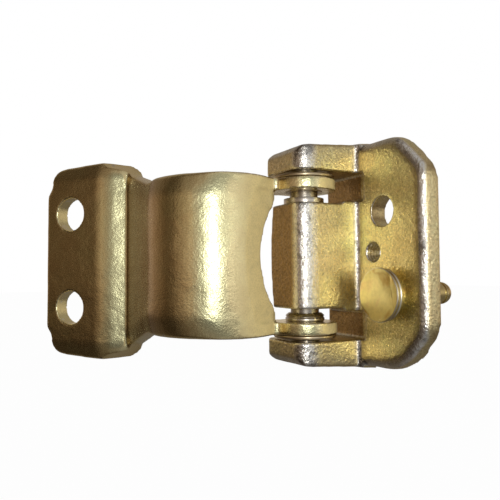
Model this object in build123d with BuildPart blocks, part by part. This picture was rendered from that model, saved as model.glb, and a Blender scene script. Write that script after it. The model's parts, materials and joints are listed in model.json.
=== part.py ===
from build123d import *
import os
from math import asin, atan2, cos, degrees, hypot, radians, sin, tan

# Forged car door hinge: a pillar bracket with a slotted knuckle and a goose-neck door arm.
# Millimetres. +Z runs up the hinge pin, +X along the plate, -Y out of the plate's front.
# The origin lies on the flat mounting face at the back of the plate, at mid height.

# Pin
PIN_X = -24.0
PIN_STANDOFF = 18.0
PIN_R = 4.2
RUN_CLEARANCE = 0.05
PIN_END_DEPTH = 0.5
PIN_END_CHAMFER = 0.8

# Plate of the pillar bracket
PLATE_T = 5.4
PLATE_RIGHT = 11.8
PLATE_TOP = 33.5
PLATE_BOTTOM = -32.6
PLATE_RIM_R = 3.4
CORNER_TOP = (0.8, 22.8)
CORNER_BOTTOM = (1.3, -21.2)
CORNER_RADII = [18.0, 8.0, 7.0, 9.0]
FORGING_DRAFT = 5.0

# Knuckle of the pillar bracket, measured from the pin
KNUCKLE_LEFT = 9.7
KNUCKLE_RIGHT = 9.3
KNUCKLE_FRONT = 7.8
RIDGE_R = 4.0
NOSE_R = 2.2
HEEL_R = 9.5
STEP_R = 1.8
KNUCKLE_SKIRT = 11.3
EAR_TOP = 33.9
EAR_BOTTOM = -33.4
EAR_INNER = 24.5
EAR_RIM_CUT = 2.4
EAR_CORNER_R = 5.5
BOSS_HALF = 16.3
BOSS_LEFT = 6.8
BOSS_CROWN = 1.3
SLOT_RIGHT = 12.1
SLOT_DEPTH = 1.9
SPOT_R = 11.9
BOSS_SPOT = 15.4

# Holes in the plate, across from the pin and up from the mid height
BOLT_HOLE = (19.8, 12.3)
BOLT_HOLE_R = 4.2
TAPPED_HOLE = (16.0, 0.8)
TAPPED_HOLE_R = 2.5
TAPPED_MOUTH_R = 2.8
STUD_HOLE = (22.4, -11.1)

# Headed stud and the flanged spacer under its head
STUD_SEAT_R = 3.5
STUD_R = 3.25
STUD_HEAD_R = 7.5
STUD_HEAD_T = 0.9
STUD_HEAD_EDGE = 0.3
STUD_NECK_R = 5.6
STUD_NECK_T = 0.6
SPACER_FLANGE_R = 7.3
SPACER_FLANGE_T = 1.1
SPACER_HUB_R = 5.0
SPACER_HUB_T = 1.8
STUD_REACH = 17.6
STUD_TIP_LENGTH = 4.4
STUD_TIP_NECK_R = 2.7
STUD_TIP_NECK_T = 0.9

# Door arm, laid out along its own X from the pin, then turned about the pin
ARM_TURN = 36.2
ARM_T = 5.6
FLANGE_END = 101.6
FLANGE_FRONT = 0.2
BEND_X = 75.2
BEND_R = 18.0
VALLEY_X = 67.4
VALLEY_Y = 3.7
VALLEY_R = 0.6
ARCH_X = 26.4
ARCH_Y = 9.0
ARCH_R = 20.0
ARCH_END_ANGLE = 16.0
FLANGE_HALF = 35.9
FLANGE_WIDEST_X = 74.0
FLANGE_END_HALF = 34.4
FLANGE_TIP_HALF = 25.0
FLANGE_TIP_STEP = 2.5
FLANGE_TIP_SLOPE = 3.0
FLANGE_TIP_R = 1.8
FLANGE_CORNER_R = 5.0
ARCH_START_X = 36.5
SHOULDER_R = 12.0
TAPER_START = (-6.3, 36.9)
TAPER_KNEE = (3.5, 30.0)
TAPER_KNEE_R = 8.0
TAPER_LENGTH = 33.0
TAPER_RUNOUT = 14.0
ARCH_HALF = 23.0
ARM_HOLE_X = 90.2
ARM_HOLE_Z = 17.1
ARM_HOLE_R = 6.0
NOTCH_TOP = 13.3
NOTCH_CORNER = 4.4
NOTCH_HALF = 19.0
EYE_R = 9.6
EYE_INNER = 19.2
EYE_OUTER = 23.0
EYE_BORE_R = 5.4
EYE_FACING_R = 9.7
LUG_WEB = [(-5.5, 6.6), (-12.4, 1.2), (-11.6, -6.0), (-7.2, -5.0), (0.0, 0.0)]
LUG_START = 16.0
LUG_FILLET_R = 1.6
LUG_CORNER = (-6.6, -5.4)
LIP_ANGLE = 14.0
LIP_SCOOP_R = 184.0
LIP_SCOOP_AWAY = 202.7

# Flanged bushes in the arm's eyes
BUSH_FLANGE_R = 9.3
BUSH_FLANGE_T = 0.9
BUSH_EDGE = 0.25

# Washer on the boss and grooved collar on the pin
BOSS_WASHER_R = 6.0
BOSS_WASHER_T = 1.8
COLLAR_R = 5.8
COLLAR_T = 2.3
COLLAR_SHOULDER = 0.9
COLLAR_GROOVE = 0.35
SIDE_CLEARANCE = 0.15

REACH = 90.0
ARM_REACH = 45.0
PIN_Y = -PIN_STANDOFF
KNUCKLE_DEPTH = PIN_STANDOFF + KNUCKLE_FRONT
EAR_DROP = KNUCKLE_DEPTH * tan(radians(FORGING_DRAFT))
EAR_LEFT = KNUCKLE_LEFT + EAR_DROP
RIM_SLOPE = radians((90 + FORGING_DRAFT) / 2)
PIN_END_INSET = PIN_STANDOFF * tan(radians(FORGING_DRAFT)) + PIN_END_DEPTH
PIN_TOP = EAR_TOP - PIN_END_INSET
PIN_BOTTOM = EAR_BOTTOM + PIN_END_INSET
EAR_SPOT = EYE_OUTER + BUSH_FLANGE_T + SIDE_CLEARANCE
SPACER_TOP = PLATE_T + SPACER_HUB_T + SPACER_FLANGE_T
STUD_HEAD_BOTTOM = SPACER_TOP + STUD_NECK_T
STUD_HEAD_TOP = STUD_HEAD_BOTTOM + STUD_HEAD_T
STUD_TIP_TOP = STUD_TIP_LENGTH - STUD_REACH
ALONG = (cos(radians(ARM_TURN)), sin(radians(ARM_TURN)), 0)
FORWARD = (sin(radians(ARM_TURN)), -cos(radians(ARM_TURN)), 0)
pin_plane = Plane((PIN_X, PIN_Y, 0))
arm_plane = Plane(origin=pin_plane.origin, x_dir=ALONG, z_dir=(0, 0, 1))
arm_face = Plane(origin=pin_plane.origin, x_dir=ALONG, z_dir=FORWARD)
arm_side = Plane(origin=pin_plane.origin, x_dir=(0, 0, 1), z_dir=ALONG)
STUD_X = PIN_X + STUD_HOLE[0]
STUD_Z = STUD_HOLE[1]
stud_base = Plane(origin=(STUD_X, -PLATE_T, STUD_Z), x_dir=(1, 0, 0), z_dir=(0, -1, 0))
stud_section = Plane(origin=(STUD_X, 0, STUD_Z), x_dir=(1, 0, 0), z_dir=(0, 0, 1))
collar_section = Plane(
    origin=(PIN_X, PIN_Y, SIDE_CLEARANCE - EYE_INNER), x_dir=(1, 0, 0), z_dir=(0, -1, 0)
)


def at_pin(across, back):
    """Place a point of the knuckle's section, given from the pin."""
    return (PIN_X + across, PIN_Y + back)


def on_plate(hole):
    """Place a hole of the plate, given across from the pin."""
    return (PIN_X + hole[0], hole[1])


# Plate of the bracket, drafted all round, with its front rim rounded
with BuildPart() as plate:
    with BuildSketch(Plane.XZ):
        with BuildLine():
            FilletPolyline(
                (PIN_X, PLATE_BOTTOM),
                (CORNER_BOTTOM[0], PLATE_BOTTOM),
                (PLATE_RIGHT, CORNER_BOTTOM[1]),
                (PLATE_RIGHT, CORNER_TOP[1]),
                (CORNER_TOP[0], PLATE_TOP),
                (PIN_X, PLATE_TOP),
                radius=CORNER_RADII,
            )
            Line((PIN_X, PLATE_TOP), (PIN_X, PLATE_BOTTOM))
        make_face()
    extrude(amount=PLATE_T, taper=FORGING_DRAFT)
    rim = plate.faces().sort_by(Axis.Y)[0].edges()
    fillet(rim.sort_by(Axis.X)[1:], radius=PLATE_RIM_R)

# Pillar bracket: the knuckle block is drafted, joined to the plate, slotted and bored
with BuildPart() as pillar_bracket:
    with BuildSketch(Plane.XY):
        with BuildLine():
            FilletPolyline(
                at_pin(KNUCKLE_SKIRT, PIN_STANDOFF),
                at_pin(-KNUCKLE_LEFT, PIN_STANDOFF),
                at_pin(-KNUCKLE_LEFT, -KNUCKLE_FRONT),
                at_pin(KNUCKLE_RIGHT, -KNUCKLE_FRONT),
                at_pin(KNUCKLE_RIGHT, PIN_STANDOFF - PLATE_T),
                at_pin(KNUCKLE_SKIRT, PIN_STANDOFF - PLATE_T),
                radius=[HEEL_R, NOSE_R, RIDGE_R, STEP_R],
            )
            Line(at_pin(KNUCKLE_SKIRT, PIN_STANDOFF - PLATE_T), at_pin(KNUCKLE_SKIRT, PIN_STANDOFF))
        make_face()
    extrude(amount=REACH, both=True)
    with BuildSketch(Plane.XZ):
        with Locations((PIN_X - EAR_LEFT, EAR_BOTTOM)):
            RectangleRounded(REACH, EAR_TOP - EAR_BOTTOM, EAR_CORNER_R, align=(Align.MIN, Align.MIN))
    extrude(amount=KNUCKLE_DEPTH, taper=FORGING_DRAFT, mode=Mode.INTERSECT)
    for side, end in ((1, EAR_TOP), (-1, EAR_BOTTOM)):
        rim_edge = Vector(0, -KNUCKLE_DEPTH, end - side * EAR_DROP)
        rim_facing = Vector(0, -sin(RIM_SLOPE), side * cos(RIM_SLOPE))
        rim_plane = Plane(origin=rim_edge - rim_facing * EAR_RIM_CUT / 2, z_dir=rim_facing)
        split(bisect_by=rim_plane, keep=Keep.BOTTOM)
    add(plate.part)
    for side in (-1, 1):
        with BuildSketch(Plane.XZ.offset(PLATE_T - SLOT_DEPTH)):
            with Locations(on_plate((SLOT_RIGHT, side * (BOSS_HALF + EAR_INNER) / 2))):
                Rectangle(REACH, EAR_INNER - BOSS_HALF, align=(Align.MAX, Align.CENTER))
        extrude(amount=REACH, mode=Mode.SUBTRACT)
        with BuildSketch(pin_plane.offset(side * (BOSS_SPOT + EAR_SPOT) / 2)):
            Circle(SPOT_R)
        extrude(amount=(EAR_SPOT - BOSS_SPOT) / 2, both=True, mode=Mode.SUBTRACT)
    with BuildSketch(Plane.XZ):
        with BuildLine():
            ThreePointArc(
                on_plate((BOSS_CROWN - BOSS_LEFT, -BOSS_HALF)),
                on_plate((-BOSS_LEFT, 0)),
                on_plate((BOSS_CROWN - BOSS_LEFT, BOSS_HALF)),
            )
            Polyline(
                on_plate((BOSS_CROWN - BOSS_LEFT, BOSS_HALF)),
                on_plate((-REACH, BOSS_HALF)),
                on_plate((-REACH, -BOSS_HALF)),
                on_plate((BOSS_CROWN - BOSS_LEFT, -BOSS_HALF)),
            )
        make_face()
    extrude(amount=REACH, mode=Mode.SUBTRACT)
    with Locations(pin_plane):
        Hole(PIN_R)
    with Locations(Plane.XZ.offset(PLATE_T)):
        with Locations(on_plate(BOLT_HOLE)):
            Hole(BOLT_HOLE_R)
        with Locations(on_plate(TAPPED_HOLE)):
            CounterSinkHole(TAPPED_HOLE_R, TAPPED_MOUTH_R)
        with Locations(on_plate(STUD_HOLE)):
            Hole(STUD_SEAT_R)
pillar_bracket.part.label = "pillar_bracket"

# Hinge pin, pressed into both ears and the boss
with BuildPart() as hinge_pin:
    with BuildSketch(pin_plane.offset(PIN_BOTTOM)):
        Circle(PIN_R)
    extrude(amount=PIN_TOP - PIN_BOTTOM)
    chamfer(hinge_pin.edges().filter_by(GeomType.CIRCLE), PIN_END_CHAMFER)
hinge_pin.part.label = "hinge_pin"

# Headed stud: a flat round head, a neck, and a shank that ends in a domed tip
with BuildPart() as headed_stud:
    with BuildSketch(stud_section):
        with BuildLine():
            Polyline(
                (0, -STUD_HEAD_TOP),
                (STUD_HEAD_R - STUD_HEAD_EDGE, -STUD_HEAD_TOP),
                (STUD_HEAD_R, STUD_HEAD_EDGE - STUD_HEAD_TOP),
                (STUD_HEAD_R, -STUD_HEAD_BOTTOM),
                (STUD_NECK_R, -STUD_HEAD_BOTTOM),
                (STUD_NECK_R, -SPACER_TOP),
                (STUD_SEAT_R, -SPACER_TOP),
                (STUD_SEAT_R, 0),
                (STUD_R, 0),
                (STUD_R, -STUD_TIP_TOP),
                (STUD_TIP_NECK_R, -STUD_TIP_TOP),
                (STUD_TIP_NECK_R, STUD_TIP_NECK_T - STUD_TIP_TOP),
                (STUD_R, STUD_TIP_NECK_T - STUD_TIP_TOP),
            )
            Line((STUD_R, STUD_TIP_NECK_T - STUD_TIP_TOP), (STUD_R, STUD_REACH - STUD_R))
            CenterArc((0, STUD_REACH - STUD_R), STUD_R, 0, 90)
            Line((0, STUD_REACH), (0, -STUD_HEAD_TOP))
        make_face()
    revolve(axis=Axis(stud_section.origin, (0, 1, 0)))
headed_stud.part.label = "headed_stud"

# Flanged spacer that holds the stud's head off the plate
with BuildPart() as stud_spacer:
    with BuildSketch(stud_base):
        Circle(SPACER_HUB_R)
    extrude(amount=SPACER_HUB_T)
    with BuildSketch(stud_base.offset(SPACER_HUB_T)):
        Circle(SPACER_FLANGE_R)
    extrude(amount=SPACER_FLANGE_T)
    flange_rims = stud_spacer.edges().filter_by(GeomType.CIRCLE).sort_by(SortBy.RADIUS)[-2:]
    chamfer(flange_rims, STUD_HEAD_EDGE)
    with Locations(stud_base):
        Hole(STUD_SEAT_R)
stud_spacer.part.label = "stud_spacer"

# Thin washer that lies on top of the boss
with BuildPart() as boss_washer:
    with BuildSketch(pin_plane.offset(BOSS_SPOT)):
        Circle(BOSS_WASHER_R)
        Circle(PIN_R, mode=Mode.SUBTRACT)
    extrude(amount=BOSS_WASHER_T)
boss_washer.part.label = "boss_washer"

# Grooved collar on the pin, just above the lower eye
with BuildPart() as pin_collar:
    with BuildSketch(collar_section):
        with BuildLine():
            Polyline(
                (PIN_R, 0),
                (COLLAR_R, 0),
                (COLLAR_R, COLLAR_T / 2 - COLLAR_GROOVE),
                (COLLAR_R - COLLAR_GROOVE, COLLAR_T / 2),
                (COLLAR_R, COLLAR_T / 2 + COLLAR_GROOVE),
                (COLLAR_R - COLLAR_SHOULDER, COLLAR_T),
                (PIN_R, COLLAR_T),
                (PIN_R, 0),
            )
        make_face()
    revolve(axis=Axis(pin_plane.origin, (0, 0, 1)))
pin_collar.part.label = "pin_collar"

# Door arm: a bent flange, a valley and a high arch that ends in two lugs with eyes
flank_run = hypot(VALLEY_X - ARCH_X, VALLEY_Y + ARCH_Y)
flank_angle = atan2(VALLEY_Y + ARCH_Y, VALLEY_X - ARCH_X) + asin(ARCH_R / flank_run)
flank_top = (-ARCH_X - ARCH_R * sin(flank_angle), -ARCH_Y - ARCH_R * cos(flank_angle))
arch_start = -90 - degrees(flank_angle)
lip_centre = arm_plane.from_local_coords(
    (
        LIP_SCOOP_AWAY * cos(radians(LIP_ANGLE)) - ARCH_X,
        -LIP_SCOOP_AWAY * sin(radians(LIP_ANGLE)) - ARCH_Y,
        0,
    )
)
flank_plane = Plane(
    origin=arm_plane.from_local_coords((-VALLEY_X, VALLEY_Y, 0)),
    x_dir=arm_plane.x_dir * cos(flank_angle) - arm_plane.y_dir * sin(flank_angle),
    z_dir=-arm_plane.x_dir * sin(flank_angle) - arm_plane.y_dir * cos(flank_angle),
)
with BuildSketch(arm_plane) as band_section:
    with BuildLine():
        FilletPolyline(
            (-FLANGE_END, -FLANGE_FRONT),
            (-BEND_X, -FLANGE_FRONT),
            (-VALLEY_X, VALLEY_Y),
            flank_top,
            radius=[BEND_R, VALLEY_R],
        )
        CenterArc((-ARCH_X, -ARCH_Y), ARCH_R, arch_start, ARCH_END_ANGLE - arch_start)
        offset(amount=ARM_T, side=Side.LEFT)
    make_face()
with BuildSketch(arm_plane) as lug_section:
    add(band_section.sketch_local)
    Circle(EYE_R)
    with BuildLine():
        Polyline(*LUG_WEB, close=True)
    make_face()
    inner_corners = lug_section.vertices().sort_by_distance(LUG_CORNER)
    fillet(inner_corners[0], radius=LUG_FILLET_R)
    with Locations((-LUG_START, 0)):
        Rectangle(REACH, REACH, align=(Align.MAX, Align.CENTER), mode=Mode.SUBTRACT)
with BuildPart() as door_arm:
    add(band_section.sketch)
    extrude(amount=REACH, both=True)
    with BuildSketch(arm_face):
        with BuildLine():
            FilletPolyline(
                (-FLANGE_END, 0),
                (-FLANGE_END, FLANGE_TIP_HALF),
                (FLANGE_TIP_STEP - FLANGE_END, FLANGE_TIP_HALF + FLANGE_TIP_SLOPE),
                (FLANGE_TIP_STEP - FLANGE_END, FLANGE_END_HALF),
                (-FLANGE_WIDEST_X, FLANGE_HALF),
                (-ARCH_START_X, FLANGE_HALF),
                (-ARCH_START_X, ARCH_HALF),
                (0, ARCH_HALF),
                (0, 0),
                radius=[
                    FLANGE_TIP_R,
                    FLANGE_TIP_R,
                    FLANGE_CORNER_R,
                    SHOULDER_R,
                    0,
                    0,
                    0,
                ],
            )
            Line((0, 0), (-FLANGE_END, 0))
        make_face()
        mirror(about=Plane.XZ)
    extrude(amount=REACH, both=True, mode=Mode.INTERSECT)
    for side in (-1, 1):
        with BuildSketch(flank_plane):
            with BuildLine():
                FilletPolyline(
                    (TAPER_START[0], side * ARM_REACH),
                    (TAPER_START[0], side * TAPER_START[1]),
                    (TAPER_KNEE[0], side * TAPER_KNEE[1]),
                    (TAPER_LENGTH, side * ARCH_HALF),
                    (TAPER_LENGTH + TAPER_RUNOUT, side * ARCH_HALF),
                    (TAPER_LENGTH + TAPER_RUNOUT, side * ARM_REACH),
                    radius=[0, TAPER_KNEE_R, SHOULDER_R, 0],
                )
                Line(
                    (TAPER_LENGTH + TAPER_RUNOUT, side * ARM_REACH),
                    (TAPER_START[0], side * ARM_REACH),
                )
            make_face()
        extrude(amount=2 * ARM_T, both=True, mode=Mode.SUBTRACT)
    with Locations(lip_centre):
        Sphere(LIP_SCOOP_R, mode=Mode.SUBTRACT)
    with BuildSketch(arm_side.offset(-ARCH_X)):
        with BuildLine():
            ThreePointArc(
                (-NOTCH_HALF, NOTCH_CORNER),
                (0, NOTCH_TOP),
                (NOTCH_HALF, NOTCH_CORNER),
            )
            Polyline(
                (NOTCH_HALF, NOTCH_CORNER),
                (NOTCH_HALF, -ARCH_R),
                (-NOTCH_HALF, -ARCH_R),
                (-NOTCH_HALF, NOTCH_CORNER),
            )
        make_face()
    extrude(amount=ARCH_X + 2 * EYE_R, mode=Mode.SUBTRACT)
    for side in (-1, 1):
        add(lug_section.sketch.moved(Location((0, 0, side * EYE_INNER))))
        extrude(amount=side * (ARCH_HALF - EYE_INNER))
        with BuildSketch(pin_plane.offset(side * EYE_INNER)):
            Circle(EYE_FACING_R)
        extrude(amount=-side * EYE_INNER, mode=Mode.SUBTRACT)
    with Locations(pin_plane):
        Hole(EYE_BORE_R)
    with Locations(arm_face):
        with Locations((-ARM_HOLE_X, ARM_HOLE_Z), (-ARM_HOLE_X, -ARM_HOLE_Z)):
            Hole(ARM_HOLE_R)
door_arm.part.label = "door_arm"

# Flanged bushes, pressed into the eyes from the ears' side
bushes = {}
for name, side in (("upper_bush", 1), ("lower_bush", -1)):
    with BuildPart() as bush:
        with BuildSketch(pin_plane.offset(side * EYE_INNER)):
            Circle(EYE_BORE_R)
        extrude(amount=side * (EYE_OUTER - EYE_INNER))
        with BuildSketch(pin_plane.offset(side * EYE_OUTER)):
            Circle(BUSH_FLANGE_R)
        extrude(amount=side * BUSH_FLANGE_T)
        flange_rims = bush.edges().filter_by(GeomType.CIRCLE).sort_by(SortBy.RADIUS)[-2:]
        chamfer(flange_rims.sort_by(lambda e: abs(e.center().Z))[-1], BUSH_EDGE)
        with Locations(pin_plane):
            Hole(PIN_R + RUN_CLEARANCE)
    bush.part.label = name
    bushes[name] = bush

os.makedirs("parts", exist_ok=True)
pieces = [
    pillar_bracket,
    door_arm,
    hinge_pin,
    bushes["upper_bush"],
    bushes["lower_bush"],
    boss_washer,
    pin_collar,
    headed_stud,
    stud_spacer,
]
for piece in pieces:
    export_step(piece.part, f"parts/{piece.part.label}.step")
    print(piece.part.label, round(piece.part.volume, 1), len(piece.part.solids()))
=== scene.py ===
import json
import math

import bpy
from mathutils import Matrix, Vector

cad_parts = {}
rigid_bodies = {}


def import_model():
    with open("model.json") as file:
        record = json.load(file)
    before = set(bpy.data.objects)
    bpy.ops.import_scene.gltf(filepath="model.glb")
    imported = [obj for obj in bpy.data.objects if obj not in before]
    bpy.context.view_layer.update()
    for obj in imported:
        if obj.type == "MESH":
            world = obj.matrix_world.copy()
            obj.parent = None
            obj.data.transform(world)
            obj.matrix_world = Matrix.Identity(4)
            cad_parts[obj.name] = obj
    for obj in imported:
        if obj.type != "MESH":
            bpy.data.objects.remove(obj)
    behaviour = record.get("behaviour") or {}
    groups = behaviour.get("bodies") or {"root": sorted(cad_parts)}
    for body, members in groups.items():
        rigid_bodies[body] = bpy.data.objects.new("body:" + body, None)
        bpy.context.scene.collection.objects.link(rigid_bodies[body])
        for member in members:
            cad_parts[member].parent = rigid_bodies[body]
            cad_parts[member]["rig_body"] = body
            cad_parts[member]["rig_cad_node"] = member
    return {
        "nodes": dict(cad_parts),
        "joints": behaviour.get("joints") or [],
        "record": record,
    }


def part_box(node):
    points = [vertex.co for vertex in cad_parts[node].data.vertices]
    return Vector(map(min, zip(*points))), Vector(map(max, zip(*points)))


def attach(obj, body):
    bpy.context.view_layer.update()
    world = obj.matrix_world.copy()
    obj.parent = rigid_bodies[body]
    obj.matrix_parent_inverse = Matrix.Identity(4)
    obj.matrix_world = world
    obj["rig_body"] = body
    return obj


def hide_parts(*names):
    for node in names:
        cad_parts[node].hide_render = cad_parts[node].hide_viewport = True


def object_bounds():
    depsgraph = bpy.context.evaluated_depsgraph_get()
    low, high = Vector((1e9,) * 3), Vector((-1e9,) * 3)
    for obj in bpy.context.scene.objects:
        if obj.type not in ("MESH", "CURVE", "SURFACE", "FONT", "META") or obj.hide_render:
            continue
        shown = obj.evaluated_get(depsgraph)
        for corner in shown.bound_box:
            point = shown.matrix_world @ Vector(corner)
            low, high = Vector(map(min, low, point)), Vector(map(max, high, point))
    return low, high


bl_info = {
    "name": "Car door hinge",
    "version": (1, 0, 0),
    "blender": (4, 5, 0),
    "location": "3D Viewport > Sidebar > Hinge",
    "description": "Finishes a forged car door hinge and sets it in a small photo studio",
    "category": "Object",
}

# The frame's nodes, its pin and its mounts
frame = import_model()
CAD_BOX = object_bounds()
NODES = frame["nodes"]
PIN = Vector(frame["joints"][0]["pos_m"])
MOUNTS = {mount["name"]: mount for mount in frame["record"]["mounts"]}
MM = 0.001

# Picture
IMAGE_SIZE = 500
SENSOR_MM = 36.0

# Meshing: how near vertices are joined, how strongly and how often a skin is smoothed, and edges
MERGE_DISTANCE = 1e-6
SMOOTHING = 0.5
SKIN_PASSES = 3
EDGE_SEGMENTS = 2
EDGE_ANGLE = math.radians(30.0)
SMOOTH_ANGLE = math.radians(35.0)

# Bracket: the knuckle's front ridge and the wall beside it, from the pin, and the plate's rims
RIDGE_LEFT = PIN.x + 5.7 * MM
RIDGE_BACK = PIN.y - 1.4 * MM
WALL = PIN.x + 9.3 * MM
BOSS_TOP = 15.0 * MM
SLOT_FLOOR = (-12.0 * MM, -9.0 * MM)
OUTER_ENDS = (25.0 * MM, 32.0 * MM)
PLATE_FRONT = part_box("stud_spacer")[1].y
PLATE_BACK_SKIN = -0.2 * MM
BRACKET_END_RIM = (27.5 * MM, 30.0 * MM)
PLATE_RIGHT_RIM = (6.5 * MM, 8.5 * MM)
END_RIM_SHARE = 0.4

# Door arm: lengths along it from the pin, and heights of its upper and lower edges
ARM_FRONT = Vector(MOUNTS["upper_flange_hole"]["axis"])
ARM_TURN = math.atan2(ARM_FRONT.x, -ARM_FRONT.y)
FLANGE_START = 68.0 * MM
FLANGE_EDGE = 35.5 * MM
FLANGE_TIP = (97.5 * MM, 100.5 * MM)
TAPER_START = 40.0 * MM
TAPER_RISE = 8.0 * MM
ARCH_EDGE = 23.0 * MM
RIM_WIDTH = (6.0 * MM, 2.0 * MM)
RIM_START = (14.0 * MM, 24.0 * MM)
FALL_WIDTH = 7.0 * MM
FALL_START = (8.0 * MM, 22.0 * MM)

# Holes: what the drills take beyond the CAD bores, and the thread's wire
DRILL_EXTRA = 0.05 * MM
DRILL_LENGTH = 14.0 * MM
DRILL_SIDES = 96
TAPPED_MOUTH_R = 3.1 * MM
MOUTH_SINK = 0.2 * MM
MOUTH_OVERLAP = 0.3 * MM
THREAD_TURNS = 6
THREAD_STEPS = 24
THREAD_WIRE = 0.55
THREAD_GAP = 0.08 * MM

# Stud: rings of faces on its head, the radius of the middle in ring widths, the colours of its
# plating along the stains, and the painted highlight on the head's round rim
HEAD_RINGS = 8
HEAD_MIDDLE = 1.5
HEAD_SKIN = 0.05 * MM
STUD_TINTS = (
    (0.34, (0.62, 0.44, 0.18)),
    (0.44, (0.82, 0.72, 0.35)),
    (0.56, (0.90, 0.77, 0.38)),
    (0.68, (0.85, 0.63, 0.35)),
)
STUD_RIM_HIGHLIGHT = (0.97, 0.92, 0.78)

# Marks on the smooth metals, as the number of patches in a metre
OIL_STAINS = 260.0
STUD_STAINS = 110.0
STUD_GRAINS = 900.0
STUD_RUBS = 700.0

# Directions that the plated skins face, as azimuths from +X towards +Y
PLATE_AZIMUTH = -90.0
FLANK_AZIMUTH = -99.0
FLANGE_AZIMUTH = -55.0
# The strip's azimuth is the soft box's azimuth; skin that faces it gets painted shade.
STRIP_AZIMUTH = -27.0
LIP_AZIMUTH = 23.5

# Light tent: how bright its cloth is at each azimuth in degrees, and how it dims from one
# height to another, below and above, with heights as shares of its radius
TENT_LIGHT = (
    (-180, 0.60), (-146, 0.50), (-132, 0.32), (-122, 0.18), (-104, 0.06), (-95, 0.10), (-87, 0.32),
    (-70, 0.45), (-58, 0.48), (-47, 0.77), (-40, 0.92), (-24, 0.95), (25, 0.98), (40, 0.58),
    (60, 0.55), (90, 0.65), (150, 0.65),
)
TENT_LOW = (-0.17, -0.03, 0.22, 1.0)
TENT_HIGH = (0.14, 0.34, 1.0, 0.45)


def deselect_all():
    """Leave edit mode and clear the selection."""
    if bpy.context.object and bpy.context.object.mode != "OBJECT":
        bpy.ops.object.mode_set(mode="OBJECT")
    bpy.ops.object.select_all(action="DESELECT")


def activate(piece):
    """Make one piece the only selected and active one."""
    deselect_all()
    piece.select_set(True)
    bpy.context.view_layer.objects.active = piece


def add_modifier(piece, kind, **settings):
    """Add a modifier with its settings and apply it at once."""
    activate(piece)
    modifier = piece.modifiers.new(kind.title(), kind)
    for name, value in settings.items():
        setattr(modifier, name, value)
    bpy.ops.object.modifier_apply(modifier=modifier.name)


def copy_of_node(node, name):
    """Copy a CAD node's mesh into a new piece and join its loose triangles."""
    piece = NODES[node].copy()
    piece.data = NODES[node].data.copy()
    piece.name = piece.data.name = name
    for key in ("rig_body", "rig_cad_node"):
        if key in piece:
            del piece[key]
    piece.parent = None
    bpy.context.scene.collection.objects.link(piece)
    activate(piece)
    bpy.ops.object.mode_set(mode="EDIT")
    bpy.ops.mesh.select_all(action="SELECT")
    bpy.ops.mesh.remove_doubles(threshold=MERGE_DISTANCE)
    bpy.ops.object.mode_set(mode="OBJECT")
    return piece


def group_of(piece, name, weigh):
    """Make a vertex group whose weights come from each vertex's place and normal."""
    group = piece.vertex_groups.new(name=name)
    for vertex in piece.data.vertices:
        weight = weigh(vertex.co, vertex.normal)
        if weight > 0.0:
            group.add([vertex.index], weight, "REPLACE")
    return group.name


def rise(value, start, end):
    """A share that grows smoothly from 0 at the start to 1 at the end."""
    share = min(max((value - start) / (end - start), 0.0), 1.0)
    return share * share * (3.0 - 2.0 * share)


def forge(piece, look, rim_weight, rim_passes, fall_weight=None):
    """Remesh a copy of a node, melt its rims and give it the uneven skin of a forging."""
    add_modifier(piece, "REMESH", mode="VOXEL", voxel_size=look.grain)
    if fall_weight:
        fall = group_of(piece, "rim_fall", fall_weight)
        add_modifier(piece, "DISPLACE", strength=-look.rim_fall, mid_level=0.0, vertex_group=fall)
    rims = group_of(piece, "rims", rim_weight)
    add_modifier(piece, "SMOOTH", factor=SMOOTHING, iterations=rim_passes, vertex_group=rims)
    add_modifier(piece, "SMOOTH", factor=SMOOTHING, iterations=SKIN_PASSES)
    clouds = bpy.data.textures.new(piece.name + "_unevenness", "CLOUDS")
    clouds.noise_scale = look.patch_size
    clouds.noise_depth = 2
    skin = group_of(piece, "skin", lambda place, normal: float(place.y < PLATE_BACK_SKIN))
    add_modifier(
        piece, "DISPLACE", texture=clouds, texture_coords="LOCAL", strength=look.unevenness,
        mid_level=1.0, vertex_group=skin,
    )
    piece.vertex_groups.clear()
    activate(piece)
    bpy.ops.object.shade_smooth()


def soften(piece, width):
    """Round the sharp edges of a turned piece so that they catch the light."""
    add_modifier(
        piece, "BEVEL", width=width, segments=EDGE_SEGMENTS, limit_method="ANGLE",
        angle_limit=EDGE_ANGLE, harden_normals=False,
    )
    activate(piece)
    bpy.ops.object.shade_smooth_by_angle(angle=SMOOTH_ANGLE)


def seat(piece, body, slot, *replaced):
    """Make a piece ride on its body and stand for its CAD nodes, which it hides; its slot is not used.
    """
    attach(piece, body)
    if replaced:
        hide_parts(*replaced)


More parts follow.
